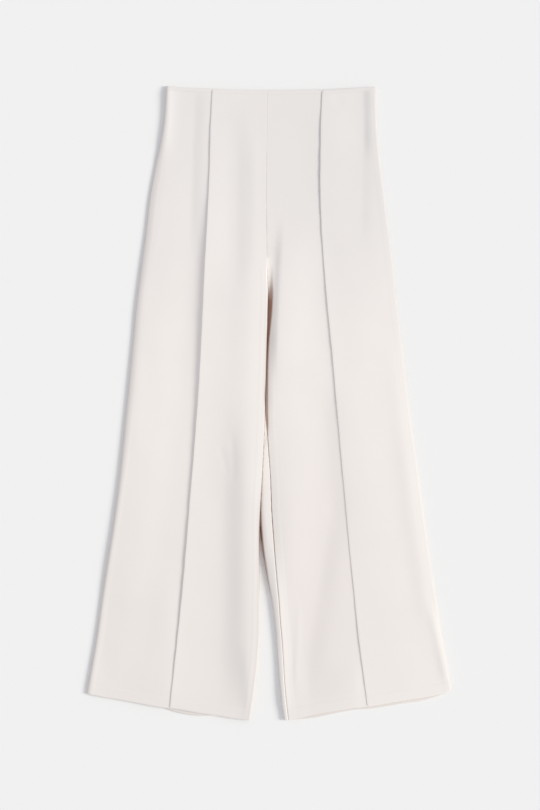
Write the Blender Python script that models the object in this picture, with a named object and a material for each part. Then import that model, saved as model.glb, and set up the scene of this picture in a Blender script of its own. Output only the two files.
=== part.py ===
"""Pleated trousers: wide legs, a high waist and a stitched pintuck down each front.

The garment lies flat and front up. +Y runs from the hems to the waist, +Z points away from the
surface it lies on, and the wearer's right leg is at -X. Sizes below are in millimetres.
Each leg is a flattened tube. Its front panel is the upper half and its back panel the lower half.
Both are walls of cloth along one path, which is worked out for each drop below the waist.
"""

from collections import namedtuple
import math

import bmesh
import bpy
import numpy as np

MILLIMETRE = 0.001

# Driving dimensions, in millimetres
CLOTH = 1.3           # thickness of the stretch crepe
LOFT = 6.4            # height of the folded edges as the garment lies
SEAM_GAP = 0.3        # gap between two panels at a seam
SETTLE = 1.7          # how far a front sinks between its two folded edges
SIDE_ROLL = 15.0      # width of the rounding along a side fold, on the front
UNDER_ROLL = 6.0      # width of the rounding along every fold, on the back
ROLL_POWER = 0.8      # below 1 it squares the rounding a little
TUCK_BASE = 2.8       # width of the tuck's ridge where it leaves the front
TUCK_CROWN = 2.0      # and along its top
TUCK_HEIGHT = 2.2     # how far the stitched ridge stands off the front
HEM_TURN = 20.0       # depth of the turned-up hem
WAIST_TURN = 8.0      # depth of the turned waist edge
TURN_GAP = 0.3        # gap inside a turned edge
WAIST_Y = 520.6       # the waist line above the middle of the garment

# The rise seams dive between the legs over these drops, and the legs part below the crotch
DIVE_START = 256.0
CROTCH = 316.0
PARTED = 338.0

# One row for each level of a leg: the drop below the waist, then across the garment the side
# fold and the tuck.
Level = namedtuple("Level", "drop side tuck")
RIGHT_LEVELS = (
    Level(-5, -171.4, -94.2),
    Level(60, -176.0, -97.4),
    Level(120, -184.8, -100.2),
    Level(180, -193.8, -103.3),
    Level(240, -202.4, -106.6),
    Level(300, -210.6, -109.8),
    Level(360, -217.6, -112.5),
    Level(420, -224.0, -115.2),
    Level(540, -235.8, -122.3),
    Level(660, -249.4, -131.6),
    Level(720, -256.8, -136.6),
    Level(810, -269.4, -144.2),
    Level(910, -285.6, -154.0),
    Level(1000, -300.4, -162.6),
    Level(1045, -306.5, -166.6),
)
LEFT_LEVELS = (
    Level(-5, 175.4, 87.0),
    Level(60, 177.0, 84.4),
    Level(120, 181.8, 83.2),
    Level(180, 189.8, 83.2),
    Level(240, 197.6, 85.4),
    Level(300, 204.8, 89.4),
    Level(360, 211.6, 94.6),
    Level(420, 218.4, 100.2),
    Level(540, 232.8, 111.0),
    Level(660, 249.4, 122.2),
    Level(720, 257.4, 127.9),
    Level(810, 270.6, 136.4),
    Level(910, 286.4, 146.4),
    Level(1000, 299.6, 158.6),
    Level(1045, 304.0, 163.4),
)

# One row for each level of the rise seams, which both legs share down to the crotch
Rise = namedtuple("Rise", "drop across")
RISE = (
    Rise(-5, -3.3),
    Rise(60, -3.5),
    Rise(120, -4.2),
    Rise(180, -4.6),
    Rise(240, -3.7),
    Rise(285, -0.6),
    Rise(312, 3.0),
    Rise(345, 3.6),
)

# One row for each level below the crotch: the inner fold, the inseam that lies on or near it,
# and the width of the fold's rounding. The left leg has turned, so its inseam lies on top.
Inseam = namedtuple("Inseam", "drop fold seam roll")
RIGHT_INSEAM = (
    Inseam(300, -1.4, -1.4, 7),
    Inseam(332, -1.8, -1.8, 7),
    Inseam(360, -2.6, -2.6, 8),
    Inseam(420, -3.8, -3.8, 8),
    Inseam(540, -8.0, -8.0, 8),
    Inseam(660, -14.3, -14.3, 8),
    Inseam(720, -16.9, -16.9, 8),
    Inseam(810, -16.2, -16.2, 9),
    Inseam(910, -16.8, -16.8, 10),
    Inseam(1000, -26.0, -26.0, 10),
    Inseam(1045, -33.0, -33.0, 10),
)
LEFT_INSEAM = (
    Inseam(300, 4.2, 4.2, 18),
    Inseam(332, 3.8, 3.8, 18),
    Inseam(360, 1.8, 1.8, 18),
    Inseam(420, -1.4, -1.4, 17),
    Inseam(480, -3.6, -3.6, 16),
    Inseam(540, -6.2, -5.2, 16),
    Inseam(600, -9.0, -1.1, 16),
    Inseam(660, -12.0, 2.4, 16),
    Inseam(720, -13.7, 6.2, 16),
    Inseam(765, -9.6, 9.4, 16),
    Inseam(810, -2.4, 13.0, 15),
    Inseam(910, 10.6, 21.8, 14),
    Inseam(1000, 18.0, 27.0, 12),
    Inseam(1045, 25.0, 32.0, 12),
)

# One row for each place along the waist edge and the hems: where it is across the garment,
# and the drop of the front's edge and the back's edge there.
Edge = namedtuple("Edge", "across front back")
WAIST_EDGE = (
    Edge(-173, -2.5, -2.5),
    Edge(-130, 0.0, 0.6),
    Edge(-3, 3.6, 4.4),
    Edge(120, 0.0, 0.6),
    Edge(177, -2.5, -2.5),
)
RIGHT_HEM = (
    Edge(-306, 999.0, 999.0),
    Edge(-279, 1005.4, 1004.8),
    Edge(-246, 1010.6, 1010.2),
    Edge(-172, 1023.0, 1023.4),
    Edge(-147, 1025.6, 1030.6),
    Edge(-114, 1031.2, 1036.0),
    Edge(-81, 1035.6, 1035.8),
    Edge(-48, 1040.8, 1040.2),
    Edge(-30, 1042.6, 1042.6),
)
LEFT_HEM = (
    Edge(20, 1043.4, 1043.4),
    Edge(36, 1041.6, 1042.2),
    Edge(68, 1033.0, 1038.6),
    Edge(101, 1028.0, 1035.0),
    Edge(134, 1024.6, 1028.8),
    Edge(167, 1021.0, 1024.4),
    Edge(216, 1012.2, 1017.0),
    Edge(266, 1004.6, 1008.6),
    Edge(290, 999.6, 1000.4),
    Edge(302, 994.0, 994.0),
)

# One row for each large fold in the fronts: its two ends (across, drop), its width, and how
# far it stands up (+) or sinks (-).
Fold = namedtuple("Fold", "x0 drop0 x1 drop1 width rise")
FOLDS = (
    Fold(-132, 0, -128, 100, 16, 0.8),       # ridge below the waist, right front
    Fold(-32, 120, -42, 260, 24, -0.7),      # trough beside the front rise seam
    Fold(-62, 380, -58, 560, 18, -0.7),      # trough down the right thigh
    Fold(-54, 790, -40, 1030, 16, -1.2),     # trough near the right inseam
    Fold(-222, 880, -190, 1000, 60, -0.6),   # broad hollow in the right shin
    Fold(158, 0, 152, 190, 9, -1.1),         # trough beside the left side seam
    Fold(52, 170, 58, 660, 26, 0.8),         # long ridge down the left thigh
    Fold(102, 640, 60, 990, 24, -1.3),       # slanted trough across the left shin
    Fold(240, 770, 282, 970, 18, -0.8),      # trough near the left side fold
)

# Steps from a seam to the first columns of points, and from level to level down a leg
SEAM_STEPS = (0.0, 1.8, 3.8, 6.4, 10.0, 15.0, 24.0)
LEVEL_DROPS = (22, 60, 100, 145, 190, 230, 258, 275, 290, 303, 314, 324, 336, 352, 385,
               430, 490, 550, 610, 660, 710, 765, 820, 870, 920, 960)
WAIST_FAN = 100.0     # the levels slant towards the waist edge above this drop
HEM_FAN = 870.0       # and towards the hem below this one
OUTSEAM = 1000.0      # drop of the hem at the side seams
OPEN_FRONT = 4        # plain columns in each open stretch of a front
OPEN_BACK = 5         # plain columns in the open stretch of a back
ARC_POINTS = 24       # points along one rounding of the path

# A front keeps its full height this far from its folds and turned edges, then sinks over a slope
FLAT_AT_FOLDS = 14.0
FLAT_AT_EDGES = 6.0
SLOPE_ACROSS = 42.0
SLOPE_DOWN = 65.0
FOLD_FADE = 0.3       # share of a fold's length over which each of its ends fades

CREPE = (0.86, 0.80, 0.75, 1.0)   # ivory
CREPE_ROUGHNESS = 0.9


def smooth(places, xs, ys):
    """Read the smooth curve through the points (xs, ys) at the given places."""
    xs, ys = np.asarray(xs, float), np.asarray(ys, float)
    slopes = np.gradient(ys, xs)
    places = np.clip(places, xs[0], xs[-1])
    k = np.clip(np.searchsorted(xs, places) - 1, 0, len(xs) - 2)
    step = xs[k + 1] - xs[k]
    t = (places - xs[k]) / step
    start = (1 + 2 * t) * (1 - t) ** 2 * ys[k] + t * (1 - t) ** 2 * step * slopes[k]
    end = t**2 * (3 - 2 * t) * ys[k + 1] - t**2 * (1 - t) * step * slopes[k + 1]
    return start + end


def read(table, key, name, place):
    """Read one named column of a table at a place along its key column."""
    keys = [getattr(row, key) for row in table]
    values = [getattr(row, name) for row in table]
    return float(smooth(place, keys, values))


def ease(value):
    """Rise smoothly from 0 to 1 as the value does."""
    t = min(max(value, 0.0), 1.0)
    return t * t * (3 - 2 * t)


def quarter(turn):
    """Sine and cosine of a rounding, squared a little."""
    return math.cos(turn) ** ROLL_POWER, math.sin(turn) ** ROLL_POWER


class Leg:
    """One leg's tube: its path across at each drop, from the side seam round to the inseam."""

    def __init__(self, name, levels, inseam, hem):
        self.name = name
        self.levels = levels
        self.inseam = inseam
        self.hem = hem
        self.inward = 1 if levels[0].side < 0 else -1

    def at(self, name, drop):
        """Where the side fold, the tuck, the inner fold or the inseam lies at a drop."""
        if name in Level._fields:
            return read(self.levels, "drop", name, drop)
        value = read(self.inseam, "drop", name, drop)
        if name == "roll":
            return value
        rise = read(RISE, "drop", "across", drop)
        return rise + (value - rise) * self.parted(drop) - self.inward * SEAM_GAP / 2

    def parted(self, drop):
        """0 where the two legs share a rise seam, 1 where they lie apart."""
        return ease((drop - CROTCH) / (PARTED - CROTCH))

    def rounding(self, edge, width, way, dive, upper, turns):
        """Points (x, z, inward x, inward z) along the rounding of one fold.

        way is +1 where the panel lies towards +X of the fold. dive is 1 for a whole rounding,
        and less where a rise seam is still high on the garment.
        """
        half = LOFT / 2
        face = 1 if upper else -1
        points = []
        for turn in turns:
            across, up = quarter(turn)
            x = edge + way * width * math.sqrt(dive) * (1 - across)
            z = half + face * half * (1 - dive * (1 - up))
            points.append((x, z, way * across * dive, -face * (1 - dive * (1 - up))))
        return points

    def dive(self, drop):
        """0 where the rise seams lie on the garment, 1 where they are inseams."""
        return ease((drop - DIVE_START) / (CROTCH - DIVE_START))

    def seam_turn(self, drop):
        """Where the inseam lies on the rounding of the inner fold: 0 at the fold."""
        width = self.at("roll", drop)
        reach = abs(self.at("seam", drop) - self.at("fold", drop))
        across = max(0.0, 1 - reach / width) ** (1 / ROLL_POWER)
        return math.acos(across), max(0.0, reach - width)

    def front_path(self, drop):
        """The outside of the front, from the side seam to the inseam."""
        way = self.inward
        turns = np.linspace(0, math.pi / 2, ARC_POINTS)
        seam_turn, past = self.seam_turn(drop)
        path = self.rounding(self.at("side", drop), SIDE_ROLL, way, 1, True, turns)
        inner, roll = self.at("fold", drop), self.at("roll", drop)
        turns = np.linspace(math.pi / 2, seam_turn, ARC_POINTS)
        end = self.rounding(inner, roll, -way, self.dive(drop), True, turns)
        if past:
            end = [(end[0][0] - way * past, LOFT, 0, -1)]
        return np.array(path + end)

    def back_path(self, drop):
        """The outside of the back, from the side seam under the leg and up to the inseam."""
        way = self.inward
        dive = self.dive(drop)
        turns = np.linspace(0, math.pi / 2, ARC_POINTS)
        seam_turn, past = self.seam_turn(drop)
        path = self.rounding(self.at("side", drop), UNDER_ROLL, way, 1, False, turns)
        inner, roll = self.at("fold", drop), self.at("roll", drop)
        path += self.rounding(inner, UNDER_ROLL, -way, dive, False, turns[::-1])
        if seam_turn > 0:
            turns = np.linspace(0, seam_turn, ARC_POINTS)
            path += self.rounding(inner, roll, -way, dive, True, turns)[1:]
        if past:
            path.append((path[-1][0] - way * past, LOFT, 0, -1))
        return np.array(path)


def lengths_along(path):
    """The length from the start of a path to each of its points."""
    steps = np.hypot(np.diff(path[:, 0]), np.diff(path[:, 1]))
    return np.concatenate([[0], np.cumsum(steps)])


def front_places(leg, path, drop):
    """Where the columns of a front lie along its path, and how far each stands up as the tuck."""
    along = lengths_along(path)
    order = np.argsort(path[:, 0])
    tuck = float(np.interp(leg.at("tuck", drop), path[order, 0], along[order]))
    start = list(SEAM_STEPS)
    end = [along[-1] - step for step in reversed(SEAM_STEPS)]
    base, crown = TUCK_BASE / 2, TUCK_CROWN / 2
    before = np.linspace(start[-1], tuck - base, OPEN_FRONT + 2)[1:-1]
    after = np.linspace(tuck + base, end[0], OPEN_FRONT + 2)[1:-1]
    ridge = [tuck - base, tuck - crown, tuck + crown, tuck + base]
    places = start + list(before) + ridge + list(after) + end
    raised = [0.0] * (len(start) + len(before)) + [0, TUCK_HEIGHT, TUCK_HEIGHT, 0]
    raised += [0.0] * (len(after) + len(end))
    return along, places, raised


def back_places(leg, path, drop):
    """Where the columns of a back lie along its path."""
    along = lengths_along(path)
    start = list(SEAM_STEPS)
    end = [along[-1] - step for step in reversed(SEAM_STEPS)]
    open_stretch = np.linspace(start[-1], end[0], OPEN_BACK + 2)[1:-1]
    places = start + list(open_stretch) + end
    return along, places, [0.0] * len(places)


def fold_rise(x, drop):
    """How far the large folds lift or sink a front at one place."""
    rise = 0.0
    for fold in FOLDS:
        t = (drop - fold.drop0) / (fold.drop1 - fold.drop0)
        if 0 < t < 1:
            middle = fold.x0 + (fold.x1 - fold.x0) * t
            fade = ease(t / FOLD_FADE) * ease((1 - t) / FOLD_FADE)
            rise += fold.rise * fade * math.exp(-(((x - middle) / (fold.width / 2)) ** 2))
    return rise


def settling(leg, x, drop, waist_drop, hem_drop):
    """How far a front sinks at one place, and how free it is there of its turned edges."""
    from_side = abs(x - leg.at("side", drop)) - FLAT_AT_FOLDS
    from_inseam = abs(x - leg.at("fold", drop)) - FLAT_AT_FOLDS
    across = ease(from_side / SLOPE_ACROSS) * ease(from_inseam / SLOPE_ACROSS)
    from_waist = drop - waist_drop - WAIST_TURN - FLAT_AT_EDGES
    from_hem = hem_drop - HEM_TURN - FLAT_AT_EDGES - drop
    free = ease(from_waist / SLOPE_DOWN) * ease(from_hem / SLOPE_DOWN)
    return across * free * SETTLE, free


def level_rows():
    """Each row of points down a panel: its level, its two drops past that level, two depths.

    The first and last rows run round the turned edges. The outer and the inner face of the
    cloth have their own drop and depth in each row.
    """
    bend = CLOTH + TURN_GAP / 2
    far, near = 2 * CLOTH + TURN_GAP, CLOTH + TURN_GAP
    rows = [("waist", WAIST_TURN, WAIST_TURN, far, near)]
    rows += [("waist", bend, bend, far, near)]
    rows += [("waist", 0, CLOTH, bend, bend)]
    rows += [("waist", bend, bend, 0, CLOTH)]
    rows += [("leg", drop, drop, 0, CLOTH) for drop in LEVEL_DROPS]
    rows += [("hem", -HEM_TURN, -HEM_TURN, 0, CLOTH)]
    rows += [("hem", -bend, -bend, 0, CLOTH)]
    rows += [("hem", 0, -CLOTH, bend, bend)]
    rows += [("hem", -bend, -bend, far, near)]
    rows += [("hem", -HEM_TURN, -HEM_TURN, far, near)]
    return rows


def panel_point(leg, panel, column, row, outer):
    """One point of a panel, in millimetres."""
    zone, drop_out, drop_in, depth_out, depth_in = row
    drop, depth = (drop_out, depth_out) if outer else (drop_in, depth_in)
    path_at = leg.front_path if panel == "front" else leg.back_path
    places_at = front_places if panel == "front" else back_places

    def across_at(level):
        path = path_at(level)
        along, places, raised = places_at(leg, path, level)
        place = min(max(places[column], 0), along[-1])
        reads = [float(np.interp(place, along, path[:, k])) for k in range(4)]
        if column in (0, len(places) - 1):
            nearby = place + (SEAM_STEPS[1] / 2 if column == 0 else -SEAM_STEPS[1] / 2)
            away = [float(np.interp(nearby, along, path[:, k])) - reads[k] for k in range(2)]
            gap = SEAM_GAP / 2 / math.hypot(*away)
            reads[0] += away[0] * gap * (leg.parted(level) if column else 1)
            reads[1] += away[1] * gap
        return reads, raised[column]

    # The edges' drops depend on how far across the point is, which changes slowly with the drop
    guess = {"waist": 0.0, "leg": drop, "hem": OUTSEAM}[zone]
    x = across_at(guess)[0][0]
    waist_drop = read(WAIST_EDGE, "across", panel, x)
    hem_drop = read(leg.hem, "across", panel, x)
    if zone == "waist":
        drop = waist_drop + drop
    elif zone == "hem":
        drop = hem_drop + drop
    elif drop < WAIST_FAN:
        drop = drop + waist_drop * (1 - drop / WAIST_FAN)
    elif drop > HEM_FAN:
        drop = HEM_FAN + (drop - HEM_FAN) * (hem_drop - HEM_FAN) / (OUTSEAM - HEM_FAN)

    (x, z, in_x, in_z), lift = across_at(drop)
    x, z = x + in_x * depth, z + in_z * depth
    if panel == "front":
        sink, free = settling(leg, x, drop, waist_drop, hem_drop)
        z += fold_rise(x, drop) * free - sink
        if outer and depth == 0:
            z += lift
    return x, WAIST_Y - drop, z


def crepe():
    """The matte ivory stretch crepe of every panel."""
    material = bpy.data.materials.new("ivory_crepe")
    material.use_nodes = True
    shader = material.node_tree.nodes["Principled BSDF"]
    shader.inputs["Base Color"].default_value = CREPE
    shader.inputs["Roughness"].default_value = CREPE_ROUGHNESS
    shader.inputs["Metallic"].default_value = 0.0
    return material


def make_panel(leg, panel, collection):
    """One panel of cloth: a grid laid on the leg's path, then given its thickness."""
    rows = level_rows()
    places_at = front_places if panel == "front" else back_places
    path_at = leg.front_path if panel == "front" else leg.back_path
    columns = len(places_at(leg, path_at(CROTCH), CROTCH)[1])
    mesh = bpy.data.meshes.new(f"{panel}_{leg.name}")
    body = bmesh.new()
    bmesh.ops.create_grid(body, x_segments=columns - 1, y_segments=len(rows) - 1, size=1)
    column_mark = body.verts.layers.int.new("column")
    row_mark = body.verts.layers.int.new("row")
    for vert in body.verts:
        vert[column_mark] = round((vert.co.x + 1) / 2 * (columns - 1))
        vert[row_mark] = round((vert.co.y + 1) / 2 * (len(rows) - 1))
    shell = bmesh.ops.extrude_face_region(body, geom=body.faces[:], use_keep_orig=True)
    inner = {item for item in shell["geom"] if isinstance(item, bmesh.types.BMVert)}
    for vert in body.verts:
        row = rows[vert[row_mark]]
        point = panel_point(leg, panel, vert[column_mark], row, vert not in inner)
        vert.co = [value * MILLIMETRE for value in point]
    bmesh.ops.recalc_face_normals(body, faces=body.faces[:])
    if body.calc_volume(signed=True) < 0:
        bmesh.ops.reverse_faces(body, faces=body.faces[:])
    body.to_mesh(mesh)
    body.free()
    mesh.materials.append(crepe())
    mesh.shade_smooth()
    mesh.set_sharp_from_angle(angle=math.radians(40))
    piece = bpy.data.objects.new(mesh.name, mesh)
    collection.objects.link(piece)
    return piece


def main():
    for thing in list(bpy.data.objects):
        bpy.data.objects.remove(thing, do_unlink=True)
    collection = bpy.data.collections.new("pleated_trousers")
    bpy.context.scene.collection.children.link(collection)
    legs = (
        Leg("right", RIGHT_LEVELS, RIGHT_INSEAM, RIGHT_HEM),
        Leg("left", LEFT_LEVELS, LEFT_INSEAM, LEFT_HEM),
    )
    for leg in legs:
        for panel in ("front", "back"):
            make_panel(leg, panel, collection)


main()
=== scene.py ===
"""Wide-leg trousers with stitched pintucks, in ivory stretch crepe, laid flat and front up.

Each panel is a sheet of cloth with its real thickness. It follows a path across the leg, worked
out for each drop below the waist, and turns under at the waist edge and at the hem. Creases,
seams, tucks and stitch lines are then pressed into that sheet. Sizes are in millimetres until a
mesh is made.
"""

from collections import namedtuple
import math
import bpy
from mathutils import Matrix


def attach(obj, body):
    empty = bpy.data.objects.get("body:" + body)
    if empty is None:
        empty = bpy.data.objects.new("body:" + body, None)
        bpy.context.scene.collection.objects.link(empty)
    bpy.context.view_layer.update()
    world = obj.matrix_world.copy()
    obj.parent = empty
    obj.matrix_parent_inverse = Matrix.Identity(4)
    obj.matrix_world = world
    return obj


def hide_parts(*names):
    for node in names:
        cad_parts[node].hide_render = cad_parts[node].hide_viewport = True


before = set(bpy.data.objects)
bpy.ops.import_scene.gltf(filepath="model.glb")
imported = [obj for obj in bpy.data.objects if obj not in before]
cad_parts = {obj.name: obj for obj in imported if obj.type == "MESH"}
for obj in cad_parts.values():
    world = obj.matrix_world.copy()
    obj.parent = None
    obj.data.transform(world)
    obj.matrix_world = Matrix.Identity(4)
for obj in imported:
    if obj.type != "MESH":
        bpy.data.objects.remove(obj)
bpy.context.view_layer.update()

from types import SimpleNamespace

import bpy
import numpy as np
from mathutils import Vector

bl_info = {
    "name": "Pintucked Wide-Leg Trousers",
    "version": (1, 0, 0),
    "blender": (4, 5, 0),
    "location": "3D View > Sidebar > Trousers",
    "description": "Cuts, tucks and lays out a pair of wide-leg trousers in stretch crepe",
    "category": "Object",
}


def table(columns, *rows):
    """A short table with named columns, one tuple for each row."""
    row = namedtuple("Row", columns)
    return tuple(row._make(values) for values in rows)


MILLIMETRE = 0.001

# How the garment lies
WAIST_Y = 520.6        # the waist line above the middle of the garment
LOFT = 6.4             # height of its folded edges
UNDER_ROLL = 6.0       # width of the rounding along every fold, on the back
ROUND, SQUARED, UNDERCUT = 1.0, 0.7, 1.2     # powers of a rounding: below 1 it is squared
DIVE_START = 282.0     # the rise seams dive between the legs over these drops
CROTCH = 316.0
PARTED = 338.0         # and the legs lie apart below this one
OUTSEAM = 1000.0       # drop of the hem at the side seams
WAIST_FAN = 100.0      # rows slant towards the waist edge above this drop
HEM_FAN = 870.0        # and towards the hem below this one
TURN_GAP = 0.3         # gap inside a turned edge

# One row for each level of the legs: the drop below the waist, then across the garment the side
# fold and the tuck of each leg
LEVELS = table(
    "drop right_side right_tuck left_side left_tuck",
    (-5, -169.8, -94.2, 175.4, 87.0),
    (60, -174.8, -97.4, 177.0, 84.4),
    (120, -185.6, -100.2, 181.8, 83.2),
    (180, -196.6, -103.3, 189.2, 83.2),
    (240, -203.7, -106.6, 196.8, 85.4),
    (300, -211.8, -109.8, 203.8, 89.4),
    (360, -219.4, -112.5, 210.4, 94.6),
    (420, -224.8, -115.2, 217.6, 100.2),
    (540, -236.6, -122.3, 232.0, 111.0),
    (660, -249.4, -131.6, 248.7, 122.2),
    (720, -257.6, -136.6, 256.6, 127.9),
    (810, -271.6, -144.2, 269.4, 136.4),
    (910, -285.6, -154.0, 285.8, 146.4),
    (1000, -301.0, -162.6, 300.2, 158.6),
    (1045, -306.5, -166.6, 304.0, 163.4),
)

# One row for each level of the rise seams, which both legs share down to the crotch
RISE = table(
    "drop across",
    (-5, -3.3),
    (60, -3.5),
    (120, -4.2),
    (180, -4.6),
    (240, -4.1),
    (280, -3.7),
    (316, -3.1),
    (345, -2.6),
)

# One row for each level below the crotch: the inner fold, the inseam that lies on or near it,
# the width of the fold's rounding, and how high the fold stands off the floor. The left leg has
# turned, so its inseam lies on top.
INSEAM_COLUMNS = "drop fold seam roll height"
RIGHT_INSEAM = table(
    INSEAM_COLUMNS,
    (300, -1.6, -1.6, 1.6, 3.2),
    (340, -2.2, -2.2, 1.0, 3.2),
    (360, -2.6, -2.6, 0.7, 3.4),
    (420, -3.8, -3.8, 0.6, 4.2),
    (470, -5.2, -5.2, 0.6, 4.4),
    (518, -6.6, -6.6, 0.6, 4.6),
    (554, -7.7, -7.7, 0.6, 4.7),
    (594, -9.3, -9.3, 0.5, 4.8),
    (634, -11.2, -11.2, 0.5, 4.8),
    (673, -13.4, -13.4, 0.5, 4.8),
    (696, -14.7, -14.7, 0.5, 4.8),
    (720, -15.2, -15.2, 0.5, 4.8),
    (780, -15.4, -15.4, 0.5, 4.8),
    (845, -15.8, -15.8, 0.5, 4.8),
    (910, -16.8, -16.8, 0.5, 4.8),
    (1000, -26.0, -26.0, 0.5, 4.8),
    (1045, -33.0, -33.0, 0.5, 4.8),
)
LEFT_INSEAM = table(
    INSEAM_COLUMNS,
    (300, -1.0, -1.0, 26, 3.2),
    (332, -1.3, -1.3, 28, 3.2),
    (360, -2.0, -2.0, 28, 3.2),
    (420, -3.3, -3.3, 26, 3.2),
    (450, -4.2, -3.5, 26, 3.2),
    (480, -5.0, -3.4, 24, 3.2),
    (532, -6.6, -3.7, 16, 3.8),
    (550, -7.2, -4.0, 9, 5.9),
    (575, -8.1, -2.7, 6, 6.0),
    (600, -9.1, -0.9, 6, 6.0),
    (640, -11.0, 1.9, 6, 6.0),
    (672, -12.9, 3.2, 6, 5.7),
    (693, -14.0, 3.9, 7, 5.0),
    (713, -14.9, 5.1, 9, 4.3),
    (738, -14.0, 7.0, 13, 4.2),
    (765, -10.4, 9.0, 15, 4.6),
    (810, -2.8, 12.8, 12, 4.8),
    (845, 5.0, 16.2, 9, 5.0),
    (881, 10.0, 18.6, 8, 5.2),
    (910, 13.1, 21.2, 8, 5.4),
    (1000, 19.8, 27.0, 7, 5.8),
    (1045, 26.0, 32.0, 6, 5.6),
)

# One row for each drop: the width of the rounding at each side fold
SIDE_ROLLS = table(
    "drop right left",
    (-5, 5, 1.0),
    (36, 8, 1.0),
    (102, 16, 1.0),
    (185, 27, 1.0),
    (267, 20, 1.0),
    (350, 17, 1.0),
    (432, 18, 1.0),
    (548, 14, 1.0),
    (680, 8.5, 1.0),
    (1045, 8, 1.0),
)
SIDE_HEIGHT = {"right": 2.6, "left": 2.8}        # how high the side folds stand off the floor

# One row for each place along the waist edge and the hems: where it is across the garment,
# and the drop of the front's edge and the back's edge there.
EDGE_COLUMNS = "across front back"
WAIST_EDGE = table(
    EDGE_COLUMNS,
    (-173, -3.4, -3.4),
    (-130, -0.4, 0.2),
    (-64, 2.7, 3.3),
    (-3, 3.6, 4.4),
    (60, 3.3, 3.9),
    (100, 2.5, 3.1),
    (140, 0.3, 0.9),
    (177, -1.9, -1.9),
)
RIGHT_HEM = table(
    EDGE_COLUMNS,
    (-306, 998.0, 998.0),
    (-279, 1003.9, 1003.4),
    (-246, 1009.2, 1008.8),
    (-172, 1022.4, 1023.0),
    (-147, 1025.6, 1030.6),
    (-114, 1031.2, 1036.0),
    (-81, 1035.6, 1035.8),
    (-48, 1040.8, 1040.2),
    (-30, 1042.6, 1042.6),
)
LEFT_HEM = table(
    EDGE_COLUMNS,
    (20, 1043.4, 1043.4),
    (36, 1041.6, 1042.2),
    (68, 1034.4, 1039.2),
    (101, 1028.9, 1033.0),
    (134, 1023.8, 1026.6),
    (167, 1020.0, 1024.0),
    (216, 1011.6, 1016.4),
    (266, 1003.6, 1007.8),
    (290, 998.6, 999.4),
    (302, 994.0, 994.0),
)

# One row for each soft crease: its two ends (across, drop), how far its middle bows towards +X,
# its half width on the -X side and on the +X side, and how far it stands up (+) or sinks (-).
CREASE_COLUMNS = "x0 drop0 x1 drop1 bow left right rise"
RIGHT_CREASES = table(
    CREASE_COLUMNS,
    (-87, -300, -311, 1400, 0, 30, 50, 0.5),     # swell inside the side fold
    (-162, -70, -180, 130, 0, 12, 14, 2.0),      # which stands taller at the waist
    (-122, -40, -134, 300, -1, 60, 14, -2.0),    # hollow beside the tuck's shoulder
    (-54, 40, -56, 370, 0, 30, 16, -1.4),        # trough beside the rise seam
    (-24, 60, -25, 320, 0, 9, 12, 0.4),          # and the ridge along its edge
    (-30, 200, -36, 740, 0, 50, 44, 3.5),        # inner ridge, down the thigh
    (-37, 520, -30, 1090, -3, 24, 34, 3.5),      # and down the shin
    (-34, 900, -31, 1110, 0, 12, 30, 1.5),
    (-76, 480, -84, 1090, 0, 60, 30, -1.8),      # hollow between that ridge and the tuck
    (-30, 420, -30, 1090, 0, 75, 200, 1.2),
    (-62, 560, -58, 660, 1, 6, 6, -0.4),         # short pull marks at the knee
    (-84, 584, -66, 646, 1, 5, 5, -0.25),
    (-262, 780, -276, 1090, 2, 26, 70, -1.5),    # broad hollow in the shin
    (-166, 760, -176, 1080, 0, 60, 20, 0.9),
    (-214, 420, -222, 640, 2, 10, 14, 0.3),
)
LEFT_CREASES = table(
    CREASE_COLUMNS,
    (27, 205, 13, 500, -2.5, 9, 50, 3.2),        # crest that drops into the crotch
    (38, 380, 40, 980, 2, 40, 60, 0.8),          # inner ridge
    (80, 470, 104, 740, 0, 55, 26, -2.2),        # trough beside the tuck
    (109, 640, 43, 1040, 0, 50, 24, -2.9),       # which slants away down the shin
    (50, 840, 43, 1010, 0, 5, 5, 0.4),
    (4, 720, 31, 1120, 3, 8, 9, 1.5),            # crest along the turned inner fold
    (196, 380, 284, 1020, -3, 16, 12, 1.15),     # ridge near the side fold
    (263, 840, 299, 1010, 0, 8, 8, 1.4),
    (153.5, -50, 156.5, 130, 0, 40, 8, -2.0),    # trough near the side seam at the waist
    (154, 40, 150, 280, 0, 40, 12, -1.0),
    (104, 14, 124, 26, 0, 7, 7, -0.3),           # dimple below the waist edge
    (68, 930, 72, 1090, 0, 14, 34, -1.0),        # the hem buckles a little
    (140, 930, 143, 1090, 0, 34, 12, 1.0),
)
BACK_CREASES = table(
    CREASE_COLUMNS,
    (-60, 250, -130, 330, 6, 9, 9, 0.40),        # smile lines below the seat
    (-48, 300, -110, 352, 5, 7, 7, 0.35),
    (52, 244, 128, 318, -5, 9, 9, 0.40),
    (40, 296, 96, 344, -4, 7, 7, 0.32),
    (-190, 560, -120, 610, 4, 9, 9, 0.40),       # backs of the knees
    (-176, 640, -96, 668, -3, 8, 8, 0.34),
    (112, 556, 190, 618, -3, 9, 9, 0.42),
    (96, 652, 168, 684, 4, 8, 8, 0.34),
    (-236, 800, -226, 980, 2, 14, 14, 0.35),     # and down the shins
    (214, 790, 232, 960, -2, 14, 14, 0.35),
)

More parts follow.
